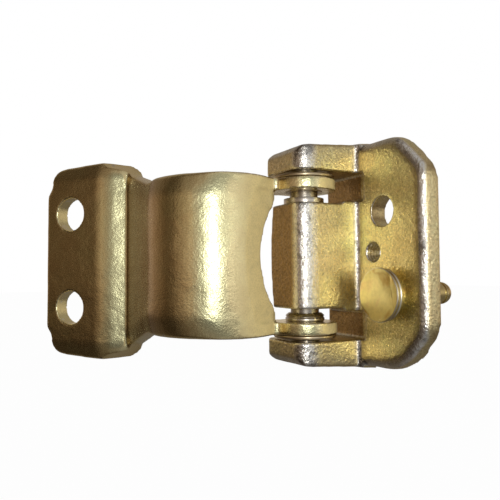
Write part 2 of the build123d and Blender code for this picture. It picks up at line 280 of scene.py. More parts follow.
class NodeDesk:
    """A short way to lay out a material's nodes on Object coordinates."""

    def __init__(self, name):
        self.material = bpy.data.materials.new(name)
        self.material.use_nodes = True
        self.tree = self.material.node_tree
        self.shader = self.tree.nodes["Principled BSDF"]
        self.place = self.add("ShaderNodeTexCoord").outputs["Object"]

    def add(self, kind, **settings):
        """Add a node with its settings."""
        node = self.tree.nodes.new(kind)
        for name, value in settings.items():
            setattr(node, name, value)
        return node

    def link(self, source, target):
        """Lead one socket into another."""
        self.tree.links.new(source, target)

    def axes(self, source=None):
        """Split a vector, or the place itself, into its three parts."""
        node = self.add("ShaderNodeSeparateXYZ")
        self.link(source or self.place, node.inputs["Vector"])
        return node.outputs["X"], node.outputs["Y"], node.outputs["Z"]

    def normal(self):
        """The skin's own direction, without its bumps, as three parts."""
        return self.axes(self.add("ShaderNodeTexCoord").outputs["Normal"])

    def noise(self, scale, detail=2.0, roughness=0.5, distortion=0.0, vector=None):
        """Cloudy noise, from 0 to 1."""
        node = self.add("ShaderNodeTexNoise")
        node.inputs["Scale"].default_value = scale
        node.inputs["Detail"].default_value = detail
        node.inputs["Roughness"].default_value = roughness
        node.inputs["Distortion"].default_value = distortion
        self.link(vector or self.place, node.inputs["Vector"])
        return node.outputs["Fac"]

    def cells(self, scale):
        """Round grains, as the distance to the nearest one."""
        node = self.add("ShaderNodeTexVoronoi")
        node.inputs["Scale"].default_value = scale
        self.link(self.place, node.inputs["Vector"])
        return node.outputs["Distance"]

    def stretched(self, scale):
        """The place, scaled on each axis."""
        node = self.add("ShaderNodeMapping")
        node.inputs["Scale"].default_value = scale
        self.link(self.place, node.inputs["Vector"])
        return node.outputs["Vector"]

    def ramp(self, source, *stops):
        """Colours along a value."""
        node = self.add("ShaderNodeValToRGB")
        elements = node.color_ramp.elements
        while len(elements) < len(stops):
            elements.new(0.5)
        for element, (position, colour) in zip(elements, stops):
            element.position = position
            element.color = (*colour, 1.0)
        self.link(source, node.inputs["Fac"])
        return node.outputs["Color"]

    def span(self, source, low, high, new_low, new_high):
        """Map one range of a value to another, held at both ends."""
        node = self.add("ShaderNodeMapRange")
        for socket, value in zip(list(node.inputs)[1:5], (low, high, new_low, new_high)):
            socket.default_value = value
        self.link(source, node.inputs["Value"])
        return node.outputs["Result"]

    def math(self, operation, first, second=0.0):
        """Reckon with two values or numbers."""
        node = self.add("ShaderNodeMath", operation=operation)
        for socket, value in zip(node.inputs, (first, second)):
            if isinstance(value, (int, float)):
                socket.default_value = value
            else:
                self.link(value, socket)
        return node.outputs["Value"]

    def product(self, *shares):
        """Multiply shares by one another."""
        result = shares[0]
        for share in shares[1:]:
            result = self.math("MULTIPLY", result, share)
        return result

    def most(self, *shares):
        """The largest of some shares."""
        result = shares[0]
        for share in shares[1:]:
            result = self.math("MAXIMUM", result, share)
        return result

    def mix(self, factor, first, second, blend="MIX"):
        """Blend two colours."""
        node = self.add("ShaderNodeMix", data_type="RGBA", blend_type=blend)
        for index, value in ((0, factor), (6, first), (7, second)):
            if isinstance(value, (int, float)):
                node.inputs[index].default_value = value
            elif isinstance(value, tuple):
                node.inputs[index].default_value = (*value, 1.0)
            else:
                self.link(value, node.inputs[index])
        return node.outputs[2]

    def shade(self, colour, share):
        """Darken a colour by a share."""
        return self.mix(1.0, colour, share, "MULTIPLY")

    def bump(self, height, distance, strength=1.0, normal=None):
        """Raise the skin by a value, on top of another bump."""
        node = self.add("ShaderNodeBump")
        node.inputs["Strength"].default_value = strength
        node.inputs["Distance"].default_value = distance
        self.link(height, node.inputs["Height"])
        if normal:
            self.link(normal, node.inputs["Normal"])
        return node.outputs["Normal"]

    def finish(self, colour, roughness, normal):
        """Lead the results into a metal shader."""
        self.shader.inputs["Metallic"].default_value = 1.0
        self.link(colour, self.shader.inputs["Base Color"])
        self.link(roughness, self.shader.inputs["Roughness"])
        self.link(normal, self.shader.inputs["Normal"])
        return self.material


def dress(piece, material):
    """Give a piece one material."""
    piece.data.materials.clear()
    piece.data.materials.append(material)


def forged_plating(name, look, coarseness, dullness, edge_wear_and_highlight, stain, strip_shade=None, matte=None):
    """Rough forged skin under yellow zinc plating: speckled and mottled, with painted shade in brown
    and greener patches, and pale edges that are worn metal and in places a painted highlight.
    """
    desk = NodeDesk(name)
    grain_size = look.speckle_size * (0.7 + 0.3 * coarseness)
    grain_depth = look.speckle_depth * coarseness
    speckle = desk.noise(1.0 / grain_size, detail=3.0, roughness=0.7)
    grains = desk.cells(0.6 / grain_size)
    mottle = desk.noise(1.0 / look.mottle_size, detail=4.0, roughness=0.6, distortion=0.6)
    colour = plated_colour(desk, look, mottle)
    # Painted shade: a darker, greener colour dims the highlight where the skin faces the soft box.
    if strip_shade:
        colour = desk.mix(strip_shade(desk), colour, tuple(look.strip_shade))
    # Painted shade: the brown colour is mixed in wherever the painted shade mask asks for it.
    colour = desk.mix(stain(desk), colour, tuple(look.stain))
    colour = desk.shade(colour, desk.span(speckle, 0.30, 0.55, 1.0 - 0.25 * coarseness, 1.0))
    # Pale edges: worn metal on the arm, and on the bracket partly a painted highlight.
    edges = desk.product(edge_wear_and_highlight(desk), desk.span(speckle, 0.3, 0.5, 0.4, 1.0))
    colour = desk.mix(edges, colour, tuple(look.worn_and_highlit))
    # Dark blotches on the pale edges, more of them towards the upper and lower ends.
    colour = desk.mix(dark_blotches(desk, look, edges), colour, tuple(look.blotch_colour))
    skin_rough = desk.span(speckle, 0.3, 0.7, dullness + 0.06, dullness - 0.08)
    roughness = desk.math("SUBTRACT", skin_rough, desk.product(edges, 0.15))
    rough_skin = desk.bump(speckle, grain_depth)
    skin = desk.bump(grains, grain_depth * 0.8, 0.6, rough_skin)
    waves = desk.bump(mottle, look.speckle_depth * 2.5, 0.5, skin)
    desk.shader.inputs["Coat Weight"].default_value = look.film
    desk.shader.inputs["Coat Roughness"].default_value = look.film_roughness
    if not matte:
        return desk.finish(colour, roughness, waves)
    dull = matte(desk)
    clouded = desk.shade(tuple(look.matte), desk.span(mottle, 0.4, 0.7, 1.0, 0.86))
    pale = desk.shade(clouded, desk.span(speckle, 0.35, 0.6, 0.84, 1.0))
    roughness = desk.math("ADD", roughness, desk.product(dull, 0.25))
    desk.finish(desk.mix(dull, colour, pale), roughness, waves)
    desk.link(desk.span(dull, 0.0, 1.0, 1.0, look.matte_metal), desk.shader.inputs["Metallic"])
    return desk.material


def plated_colour(desk, look, mottle):
    """Yellow zinc that drifts between olive and gold, with browner patches."""
    gold = tuple(look.gold)
    brown = tuple(look.brown)
    drift = desk.noise(0.25 / look.mottle_size)
    tint = desk.ramp(drift, (0.35, tuple(look.olive)), (0.5, gold), (0.68, blend_of(gold, brown, 0.45)))
    return desk.mix(desk.span(mottle, 0.4, 0.75, 0.0, 0.6), tint, brown)


def dark_blotches(desk, look, edges):
    """Dark blotches on the pale edges, most of them near the upper and lower ends."""
    blotch = desk.noise(0.7 / look.mottle_size, detail=5.0, roughness=0.75)
    height = desk.math("ABSOLUTE", desk.axes()[2])
    blotchiness = desk.math("ADD", blotch, desk.span(height, *OUTER_ENDS, 0.0, 0.12))
    return desk.product(edges, desk.span(blotchiness, 0.52, 0.64, 0.0, 0.85))


def facing(desk, azimuth, narrow, wide):
    """Where the skin faces an azimuth, as a share that grows from the wide to the narrow limit."""
    turn = math.radians(azimuth)
    node = desk.add("ShaderNodeVectorMath", operation="DOT_PRODUCT")
    desk.link(desk.add("ShaderNodeTexCoord").outputs["Normal"], node.inputs[0])
    node.inputs[1].default_value = (math.cos(turn), math.sin(turn), 0.0)
    limits = (math.cos(math.radians(wide)), math.cos(math.radians(narrow)))
    return desk.span(node.outputs["Value"], *limits, 0.0, 1.0)


def pointed_edges(desk):
    """Where a piece's mesh is convex, such as along the rims of the arm."""
    return desk.span(desk.add("ShaderNodeNewGeometry").outputs["Pointiness"], 0.52, 0.58, 0.0, 0.5)


def worn_and_highlit_edges(desk):
    """Where the bracket's skin turns to its side and its ends, and along the knuckle's ridge: worn
    edges, with a painted highlight where the rounded rim and the ridge face the soft box.
    """
    across, back, up = desk.normal()
    begins = desk.span(across, 0.20, 0.36, 0.0, 1.0)
    ends = desk.span(across, 0.70, 0.86, 1.0, 0.0)
    round_edge = desk.product(begins, ends, desk.span(back, -0.45, -0.25, 1.0, 0.0))
    end_edge = desk.span(desk.math("ABSOLUTE", desk.product(back, up)), 0.2, 0.45, 0.0, 0.5)
    x, y = desk.axes()[:2]
    right = desk.span(x, RIDGE_LEFT - 0.8 * MM, RIDGE_LEFT + 0.6 * MM, 0.0, 1.0)
    front = desk.span(y, RIDGE_BACK, RIDGE_BACK - 2.2 * MM, 0.0, 0.9)
    return desk.most(round_edge, end_edge, desk.product(right, front))


def painted_shade_on_flank(desk):
    """Painted shade: browner colour on the side of the arch that faces the flange, and on the flange,
    both turned away from the soft box.
    """
    flank = facing(desk, FLANK_AZIMUTH, 18.0, 40.0)
    flange = facing(desk, FLANGE_AZIMUTH, 4.0, 12.0)
    return desk.most(desk.product(flank, 0.9), desk.product(flange, 0.35))


def painted_shade_on_strip(desk):
    """Painted shade, greener and darker, that dims the highlight on the arm's narrow strip and the top
    of its arch, where the skin faces the soft box.
    """
    return facing(desk, STRIP_AZIMUTH, 6.0, 16.0)


def matte_on_lip(desk):
    """Duller, paler plating on the flat lip that faces the knuckle."""
    return facing(desk, LIP_AZIMUTH, 6.0, 32.0)


def painted_shade_on_boss(desk):
    """Painted shade: browner colour on the knuckle beside the arm, which the arm shades, deep in the
    slots, and past the plate's rim on its side face.
    """
    x, y, z = desk.axes()
    left = desk.span(x, RIDGE_LEFT + 0.5 * MM, RIDGE_LEFT - 1.5 * MM, 0.0, 1.0)
    on_boss = desk.span(desk.math("ABSOLUTE", z), BOSS_TOP, BOSS_TOP + 1.0 * MM, 1.0, 0.25)
    behind_wall = desk.span(x, WALL + 0.2 * MM, WALL - 0.4 * MM, 0.0, 1.0)
    deep = desk.span(y, *SLOT_FLOOR, 0.0, 1.0)
    front = facing(desk, PLATE_AZIMUTH, 15.0, 35.0)
    across = desk.normal()[0]
    past_rim = desk.span(across, 0.74, 0.88, 0.0, 0.45)
    side = desk.span(across, 0.93, 0.985, 1.0, 0.0)
    hollows = desk.most(desk.product(left, on_boss), desk.product(behind_wall, deep))
    return desk.most(desk.product(past_rim, side), desk.product(front, hollows))


def blend_of(first, second, share):
    """A colour between two colours."""
    return tuple(a + (b - a) * share for a, b in zip(first, second))


def turned_metal(name, colour, stain, roughness, look):
    """Turned metal with fine rings round the pin and a few stains."""
    desk = NodeDesk(name)
    rings = desk.noise(1.0 / look.turning_line, vector=desk.stretched((0.02, 0.02, 1.0)))
    stains = desk.noise(OIL_STAINS, detail=4.0, roughness=0.65)
    base = desk.ramp(stains, (0.35, blend_of(colour, stain, 0.5)), (0.62, tuple(colour)))
    shade = desk.shade(base, desk.span(rings, 0.3, 0.7, 0.8, 1.0))
    rough = desk.span(stains, 0.3, 0.7, roughness + 0.12, roughness - 0.03)
    return desk.finish(shade, rough, desk.bump(rings, look.turning_depth, 0.6))


def polished_plating(look):
    """Smooth yellow zinc plating with faint rainbow stains and rubbing marks, and a painted highlight
    on the bevel round the head.
    """
    desk = NodeDesk("smooth_yellow_zinc")
    stain = desk.noise(STUD_STAINS, detail=3.0, roughness=0.55, distortion=0.8)
    fine = desk.noise(STUD_GRAINS, detail=3.0, roughness=0.6)
    rubs = desk.noise(STUD_RUBS, detail=3.0, vector=desk.stretched((1.0, 1.0, 0.12)))
    tint = desk.ramp(stain, *STUD_TINTS)
    plating = desk.shade(tint, desk.span(fine, 0.3, 0.6, 0.88, 1.0))
    # Painted highlight: bevels that turn 20 to 62 degrees from the plate's front, such as the one round
    # the head, are painted pale.
    rim = facing(desk, PLATE_AZIMUTH, 62.0, 72.0)
    face = facing(desk, PLATE_AZIMUTH, 8.0, 20.0)
    colour = desk.mix(desk.math("SUBTRACT", rim, face), plating, STUD_RIM_HIGHLIGHT)
    rough = desk.span(rubs, 0.3, 0.7, look.stud_roughness + 0.06, look.stud_roughness)
    return desk.finish(colour, rough, desk.bump(rubs, look.rub_depth, 0.3))


class HingeForgingSettings(bpy.types.PropertyGroup):
    """Sizes and colours of the two forgings."""

    gold: bpy.props.FloatVectorProperty(
        name="Gold", description="Main colour of the yellow zinc plating", subtype="COLOR",
        size=3, min=0.0, max=1.0, default=(0.98, 0.87, 0.48),
    )
    brown: bpy.props.FloatVectorProperty(
        name="Brown", description="Darker, thicker plating in the mottled patches", subtype="COLOR",
        size=3, min=0.0, max=1.0, default=(0.90, 0.71, 0.37),
    )
    olive: bpy.props.FloatVectorProperty(
        name="Olive", description="Thinner, greenish plating", subtype="COLOR",
        size=3, min=0.0, max=1.0, default=(0.95, 0.89, 0.48),
    )
    # Painted shade: this brown is laid on the arm's flank and flange and in the bracket's hollows,
    # where shade falls.
    stain: bpy.props.FloatVectorProperty(
        name="Stain", description="Brown of the thickest plating", subtype="COLOR",
        size=3, min=0.0, max=1.0, default=(0.48, 0.32, 0.14),
    )
    # Painted shade: this greenish grey dims the highlight where the arm's skin faces the soft box.
    strip_shade: bpy.props.FloatVectorProperty(
        name="Thin", description="Greenish grey of the thinnest plating", subtype="COLOR",
        size=3, min=0.0, max=1.0, default=(0.57, 0.55, 0.32),
    )
    # Dark colour laid in blotches on the pale edges, more of them towards the upper and lower ends.
    blotch_colour: bpy.props.FloatVectorProperty(
        name="Soot", description="Dark oxide spots in the rubbed edges", subtype="COLOR",
        size=3, min=0.0, max=1.0, default=(0.20, 0.19, 0.17),
    )
    matte: bpy.props.FloatVectorProperty(
        name="Matte", description="Pale, dull plating on the arm's flat lip", subtype="COLOR",
        size=3, min=0.0, max=1.0, default=(1.0, 0.80, 0.36),
    )
    # Pale metal of worn edges; on the bracket it is also a painted highlight on the rim and ridge.
    worn_and_highlit: bpy.props.FloatVectorProperty(
        name="Rubbed", description="Bright metal where the plating is rubbed thin on the edges",
        subtype="COLOR", size=3, min=0.0, max=1.0, default=(0.97, 0.96, 0.92),
    )
    film: bpy.props.FloatProperty(
        name="Film", description="Share of the clear passivation film over the plating", min=0.0,
        max=1.0, default=0.3, subtype="FACTOR",
    )
    film_roughness: bpy.props.FloatProperty(
        name="Film roughness", description="How dull the clear film is", min=0.0, max=1.0,
        default=0.22, subtype="FACTOR",
    )
    roughness: bpy.props.FloatProperty(
        name="Roughness", description="How dull the plated skin is", min=0.05, max=1.0,
        default=0.27, subtype="FACTOR",
    )
    matte_metal: bpy.props.FloatProperty(
        name="Matte metal", description="How metallic the dull plating on the arm's lip looks",
        min=0.0, max=1.0, default=0.08, subtype="FACTOR",
    )
    arm_coarseness: bpy.props.FloatProperty(
        name="Arm coarseness", description="How coarse the arm's forged skin is", min=0.0,
        default=0.38,
    )
    bracket_coarseness: bpy.props.FloatProperty(
        name="Bracket coarseness", description="How coarse the bracket's forged skin is", min=0.0,
        default=1.6,
    )
    arm_melt: bpy.props.IntProperty(
        name="Arm melt", description="Smoothing passes that round the arm's rims", min=0, default=70,
    )
    bracket_melt: bpy.props.IntProperty(
        name="Bracket melt", description="Smoothing passes that round the bracket's rims", min=0,
        default=24,
    )
    speckle_size: bpy.props.FloatProperty(
        name="Speckle size", description="Size of the grains in the forged skin", min=1e-5,
        default=0.55 * MM, precision=5, unit="LENGTH",
    )
    speckle_depth: bpy.props.FloatProperty(
        name="Speckle depth", description="Depth of the grains in the forged skin", min=0.0,
        default=0.10 * MM, precision=5, unit="LENGTH",
    )
    mottle_size: bpy.props.FloatProperty(
        name="Mottle size", description="Size of the patches in the plating", min=1e-4,
        default=5.0 * MM, precision=4, unit="LENGTH",
    )
    grain: bpy.props.FloatProperty(
        name="Grain", description="Size of the faces that the forgings are remeshed to", min=1e-4,
        default=0.47 * MM, precision=5, unit="LENGTH",
    )
    unevenness: bpy.props.FloatProperty(
        name="Unevenness", description="Depth of the shallow hollows in the forged skin", min=0.0,
        default=0.18 * MM, precision=5, unit="LENGTH",
    )
    patch_size: bpy.props.FloatProperty(
        name="Patch size", description="Width of the shallow hollows in the forged skin", min=1e-4,
        default=7.0 * MM, precision=4, unit="LENGTH",
    )
    thread_pitch: bpy.props.FloatProperty(
        name="Thread pitch", description="Pitch of the thread in the plate's tapped hole", min=1e-4,
        default=1.0 * MM, precision=4, unit="LENGTH",
    )
    rim_fall: bpy.props.FloatProperty(
        name="Rim fall", description="How far the arm's skin falls back at its rims", min=0.0,
        default=1.5 * MM, precision=4, unit="LENGTH",
    )


class HingeHardwareSettings(bpy.types.PropertyGroup):
    """Finish of the pin, bushes, washer, collar and stud."""

    stud_roughness: bpy.props.FloatProperty(
        name="Stud roughness", description="How dull the stud's smooth plating is", min=0.05,
        max=1.0, default=0.29, subtype="FACTOR",
    )
    steel: bpy.props.FloatVectorProperty(
        name="Steel", description="Colour of the pin, washer and collar", subtype="COLOR",
        size=3, min=0.0, max=1.0, default=(0.68, 0.64, 0.57),
    )
    steel_stain: bpy.props.FloatVectorProperty(
        name="Steel stain", description="Old oil on the pin, washer and collar", subtype="COLOR",
        size=3, min=0.0, max=1.0, default=(0.25, 0.18, 0.10),
    )
    steel_roughness: bpy.props.FloatProperty(
        name="Steel roughness", description="How dull the pin, washer and collar are", min=0.05,
        max=1.0, default=0.24, subtype="FACTOR",
    )
    bronze: bpy.props.FloatVectorProperty(
        name="Bronze", description="Colour of the bushes", subtype="COLOR",
        size=3, min=0.0, max=1.0, default=(0.74, 0.62, 0.42),
    )
    bronze_stain: bpy.props.FloatVectorProperty(
        name="Bronze stain", description="Old oil on the bushes", subtype="COLOR",
        size=3, min=0.0, max=1.0, default=(0.30, 0.20, 0.08),
    )
    bronze_roughness: bpy.props.FloatProperty(
        name="Bronze roughness", description="How dull the bushes are", min=0.05, max=1.0,
        default=0.28, subtype="FACTOR",
    )
    edge: bpy.props.FloatProperty(
        name="Edge", description="Width of the small roundings on the turned parts", min=1e-5,
        default=0.10 * MM, precision=5, unit="LENGTH",
    )
    crown: bpy.props.FloatProperty(
        name="Crown", description="How far the stud's head falls towards its rim", min=0.0,
        default=0.16 * MM, precision=5, unit="LENGTH",
    )
    turning_line: bpy.props.FloatProperty(
        name="Turning line", description="Spacing of the fine rings left by the lathe", min=1e-5,
        default=0.25 * MM, precision=5, unit="LENGTH",
    )
    turning_depth: bpy.props.FloatProperty(
        name="Turning depth", description="Depth of the fine rings left by the lathe", min=0.0,
        default=0.03 * MM, precision=6, unit="LENGTH",
    )
    rub_depth: bpy.props.FloatProperty(
        name="Rub depth", description="Depth of the rubbing marks on the stud", min=0.0,
        default=0.02 * MM, precision=6, unit="LENGTH",
    )


class HingeStageSettings(bpy.types.PropertyGroup):
    """Camera, floor and lights."""

    camera_place: bpy.props.FloatVectorProperty(
        name="Camera place", description="Where the camera stands, from the mounting face",
        size=3, subtype="TRANSLATION", default=(0.1113, -0.1139, -0.0050),
    )
    camera_heading: bpy.props.FloatProperty(
        name="Camera heading", description="Direction of view, from +X towards +Y",
        subtype="ANGLE", default=math.radians(150.3),
    )
    camera_pitch: bpy.props.FloatProperty(
        name="Camera pitch", description="How far the camera looks up", subtype="ANGLE",
        default=math.radians(2.43),
    )
    camera_roll: bpy.props.FloatProperty(
        name="Camera roll", description="How far the picture leans", subtype="ANGLE",
        default=math.radians(-0.37),
    )
    focal_pixels: bpy.props.FloatProperty(
        name="Focal length", description="Focal length in pixels of the square picture",
        default=550.0, min=50.0,
    )
    floor_drop: bpy.props.FloatProperty(
        name="Floor drop", description="How far the floor lies below the hinge", min=0.0,
        default=60.0 * MM, unit="LENGTH",
    )
    floor_size: bpy.props.FloatProperty(
        name="Floor size", description="Length and width of the floor", min=0.5, default=6.0,
        unit="LENGTH",
    )
    floor_colour: bpy.props.FloatVectorProperty(
        name="Floor colour", description="Colour of the floor that takes the shadow",
        subtype="COLOR", size=3, min=0.0, max=1.0, default=(0.86, 0.86, 0.86),
    )
    floor_white: bpy.props.FloatProperty(
        name="Floor white", description="How nearly white the floor looks to the camera", min=0.0,
        max=1.0, default=0.97, subtype="FACTOR",
    )
    key_power: bpy.props.FloatProperty(
        name="Key power", description="Power of the soft box behind the camera", min=0.0,
        default=0.70, unit="POWER",
    )
    key_azimuth: bpy.props.FloatProperty(
        name="Key azimuth", description="Side of the hinge on which the soft box stands",
        subtype="ANGLE", default=math.radians(-27.0),
    )
    key_elevation: bpy.props.FloatProperty(
        name="Key elevation", description="How high the soft box stands", subtype="ANGLE",
        default=math.radians(3.0),
    )
    key_distance: bpy.props.FloatProperty(
        name="Key distance", description="How far the soft box stands from the pin", min=0.1,
        default=0.60, unit="LENGTH",
    )
    key_size: bpy.props.FloatProperty(
        name="Key size", description="Width and height of the soft box", min=0.01, default=0.16,
        unit="LENGTH",
    )
    tent_radius: bpy.props.FloatProperty(
        name="Tent radius", description="Radius of the light tent round the hinge", min=0.3,
        default=0.75, unit="LENGTH",
    )
    tent_glow: bpy.props.FloatProperty(
        name="Tent glow", description="Brightness of the light tent's cloth", min=0.0, default=1.0,
    )
    ambient: bpy.props.FloatProperty(
        name="Ambient", description="Strength of the studio's even light", min=0.0, default=0.55,
    )


class HINGE_OT_forgings(bpy.types.Operator):
    """Give the pillar bracket and the door arm their forged skin"""

    bl_idname = "hinge.forgings"
    bl_label = "Finish the forgings"

    def execute(self, context):
        look = context.scene.hinge_forging
        self.arm(look)
        self.bracket(look)
        return {"FINISHED"}

    def arm(self, look):
        """Forge the door arm, drill its two bolt holes and plate it."""
        skin = forged_plating(
            "arm_yellow_zinc", look, look.arm_coarseness, look.roughness,
            edge_wear_and_highlight=pointed_edges, stain=painted_shade_on_flank, strip_shade=painted_shade_on_strip, matte=matte_on_lip,
        )
        arm = copy_of_node("door_arm", "forged_door_arm")
        forge(arm, look, self.arm_rims, look.arm_melt, self.rim_fall)
        for hole in ("upper_flange_hole", "lower_flange_hole"):
            self.drill(arm, MOUNTS[hole])
        dress(arm, skin)
        seat(arm, "door", "plated_forging", "door_arm")

    def bracket(self, look):
        """Forge the pillar bracket, drill its holes, cut its thread and plate it."""
        skin = forged_plating(
            "bracket_yellow_zinc", look, look.bracket_coarseness, look.roughness + 0.05,
            edge_wear_and_highlight=worn_and_highlit_edges, stain=painted_shade_on_boss,
        )
        bracket = copy_of_node("pillar_bracket", "forged_pillar_bracket")
        forge(bracket, look, self.bracket_rims, look.bracket_melt)
        self.drill(bracket, MOUNTS["plate_bolt_hole"])
        self.drill(bracket, MOUNTS["plate_tapped_hole"])
        self.cut_thread(bracket, MOUNTS["plate_tapped_hole"], look.thread_pitch)
        dress(bracket, skin)
        seat(bracket, "pillar", "plated_forging", "pillar_bracket")

    def drill(self, piece, hole):
        """Cut a clean round hole at one of the frame's mounts, with a wide mouth if it is tapped."""
        radius = hole["dims"]["r_mm"] * MM + DRILL_EXTRA
        middle = Vector(hole["pos_m"])
        turn = (-Vector(hole["axis"])).to_track_quat("Z", "Y").to_euler()
        deselect_all()
        bpy.ops.mesh.primitive_cylinder_add(
            vertices=DRILL_SIDES, radius=radius, depth=DRILL_LENGTH, location=middle, rotation=turn
        )
        self.cut(piece, bpy.context.object)
        if hole["kind"] == "threaded_hole":
            deselect_all()
            bpy.ops.mesh.primitive_cone_add(
                vertices=DRILL_SIDES, radius1=TAPPED_MOUTH_R + MOUTH_OVERLAP, radius2=radius,
                depth=TAPPED_MOUTH_R - radius + MOUTH_OVERLAP,
                location=(middle.x, PLATE_FRONT + MOUTH_SINK, middle.z), rotation=turn,
            )
            self.cut(piece, bpy.context.object)

    def cut(self, piece, cutter):
        """Take a cutter out of a piece and remove it."""
        add_modifier(piece, "BOOLEAN", object=cutter, operation="DIFFERENCE", solver="EXACT")
        bpy.data.objects.remove(cutter)

    def cut_thread(self, bracket, hole, pitch):
        """Cut a thread into the tapped hole with a three-sided wire that winds through it."""
        deselect_all()
        middle = Vector(hole["pos_m"])
        bpy.ops.mesh.primitive_circle_add(
            vertices=3, radius=pitch * THREAD_WIRE,
            location=(middle.x, PLATE_FRONT + MOUTH_SINK, middle.z),
            rotation=(0.0, 0.0, math.radians(-90.0)),
        )
        wire = bpy.context.object
        bpy.ops.object.transform_apply(location=False, rotation=True, scale=False)
        bpy.ops.object.mode_set(mode="EDIT")
        bpy.ops.mesh.select_all(action="SELECT")
        hole_radius = hole["dims"]["r_mm"] * MM + DRILL_EXTRA
        bpy.ops.transform.translate(value=(hole_radius + THREAD_GAP, 0.0, 0.0))
        bpy.ops.object.mode_set(mode="OBJECT")
        add_modifier(
            wire, "SCREW", axis="Y", angle=math.radians(360.0), screw_offset=pitch,
            iterations=THREAD_TURNS, steps=THREAD_STEPS, render_steps=THREAD_STEPS,
        )
        bpy.ops.object.mode_set(mode="EDIT")
        bpy.ops.mesh.select_all(action="SELECT")
        bpy.ops.mesh.fill_holes(sides=3)
        bpy.ops.mesh.normals_make_consistent(inside=False)
        bpy.ops.object.mode_set(mode="OBJECT")
        self.cut(bracket, wire)

    def arm_edge(self, place):
        """How far a place lies along the arm from the pin, and how high the arm's edge is there."""
        along = (PIN.x - place.x) * math.cos(ARM_TURN) + (PIN.y - place.y) * math.sin(ARM_TURN)
        if along > FLANGE_START:
            return along, FLANGE_EDGE
        return along, ARCH_EDGE + TAPER_RISE * rise(along, TAPER_START, FLANGE_START)

    def rim_fall(self, place, normal):
        """Weigh the arm's front skin near its upper and lower rims, which slope away."""
        along, edge = self.arm_edge(place)
        front = normal.x * math.sin(ARM_TURN) - normal.y * math.cos(ARM_TURN)
        near = min(max(1.0 - (edge - abs(place.z)) / FALL_WIDTH, 0.0), 1.0)
        return near * near * rise(front, 0.1, 0.5) * rise(along, *FALL_START)

    def arm_rims(self, place, normal):
        """Weigh the outer rims of the arm, from its flange to its arch."""
        along, edge = self.arm_edge(place)
        outer, inner = RIM_WIDTH
        side = rise(abs(place.z), edge - outer, edge - inner) * rise(along, *RIM_START)
        return max(side, rise(along, *FLANGE_TIP))

    def bracket_rims(self, place, normal):
        """Weigh the outer rims of the bracket's plate and ears."""
        end = rise(abs(place.z), *BRACKET_END_RIM)
        return max(END_RIM_SHARE * end, rise(place.x, *PLATE_RIGHT_RIM))


class HINGE_OT_hardware(bpy.types.Operator):
    """Finish the pin, the bushes, the washer and the collar"""

    bl_idname = "hinge.hardware"
    bl_label = "Finish the turned parts"

    def execute(self, context):
        look = context.scene.hinge_hardware
        steel = turned_metal(
            "turned_steel", look.steel, look.steel_stain, look.steel_roughness, look
        )
        bronze = turned_metal(
            "turned_bronze", look.bronze, look.bronze_stain, look.bronze_roughness, look
        )
        for node, body, slot, material in (
            ("hinge_pin", "pillar", "bare_steel", steel),
            ("boss_washer", "pillar", "bare_steel", steel),
            ("pin_collar", "pillar", "bare_steel", steel),
            ("upper_bush", "door", "bush_bronze", bronze),
            ("lower_bush", "door", "bush_bronze", bronze),
        ):
            piece = copy_of_node(node, "turned_" + node)
            soften(piece, look.edge)
            dress(piece, material)
            seat(piece, body, slot, node)
        return {"FINISHED"}


class HINGE_OT_stud(bpy.types.Operator):
    """Finish the headed stud and its spacer"""

    bl_idname = "hinge.stud"
    bl_label = "Finish the stud"

    def execute(self, context):
        look = context.scene.hinge_hardware
        material = polished_plating(look)
        stud = copy_of_node("headed_stud", "plated_headed_stud")
        self.crown(stud, look.crown)
        spacer = copy_of_node("stud_spacer", "plated_stud_spacer")
        for piece, node in ((stud, "headed_stud"), (spacer, "stud_spacer")):
            soften(piece, look.edge)
            dress(piece, material)
            seat(piece, "pillar", "polished_plating", node)
        return {"FINISHED"}

    def crown(self, stud, height):
        """Give the stud's flat head rings of faces and let them fall towards the rim."""
        low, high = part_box("headed_stud")
        axis = Vector(((low.x + high.x) / 2.0, 0.0, (low.z + high.z) / 2.0))
        radius = (high.x - low.x) / 2.0
        for face in stud.data.polygons:
            face.select = face.normal.y < -0.99 and face.center.y < low.y + HEAD_SKIN
        bpy.ops.object.mode_set(mode="EDIT")
        bpy.ops.mesh.select_mode(type="FACE")
        bpy.ops.mesh.dissolve_faces()
        for ring in range(HEAD_RINGS):
            bpy.ops.mesh.inset(thickness=radius / (HEAD_RINGS + HEAD_MIDDLE))
        bpy.ops.mesh.poke()
        bpy.ops.object.mode_set(mode="OBJECT")

        def fall(place, normal):
            """Weigh a point of the head's skin by the square of its distance from the middle."""
            if place.y > low.y + HEAD_SKIN:
                return 0.0
            return min(((place.x - axis.x) ** 2 + (place.z - axis.z) ** 2) / radius ** 2, 1.0)

        group = group_of(stud, "crown", fall)
        add_modifier(
            stud, "DISPLACE", direction="Y", strength=height, mid_level=0.0, vertex_group=group
        )
        stud.vertex_groups.clear()


def around(centre, azimuth, elevation, distance):
    """A point round a centre, with azimuth from +X towards +Y and both angles in radians."""
    level = math.cos(elevation) * distance
    return centre + Vector((
        math.cos(azimuth) * level, math.sin(azimuth) * level, math.sin(elevation) * distance,
    ))


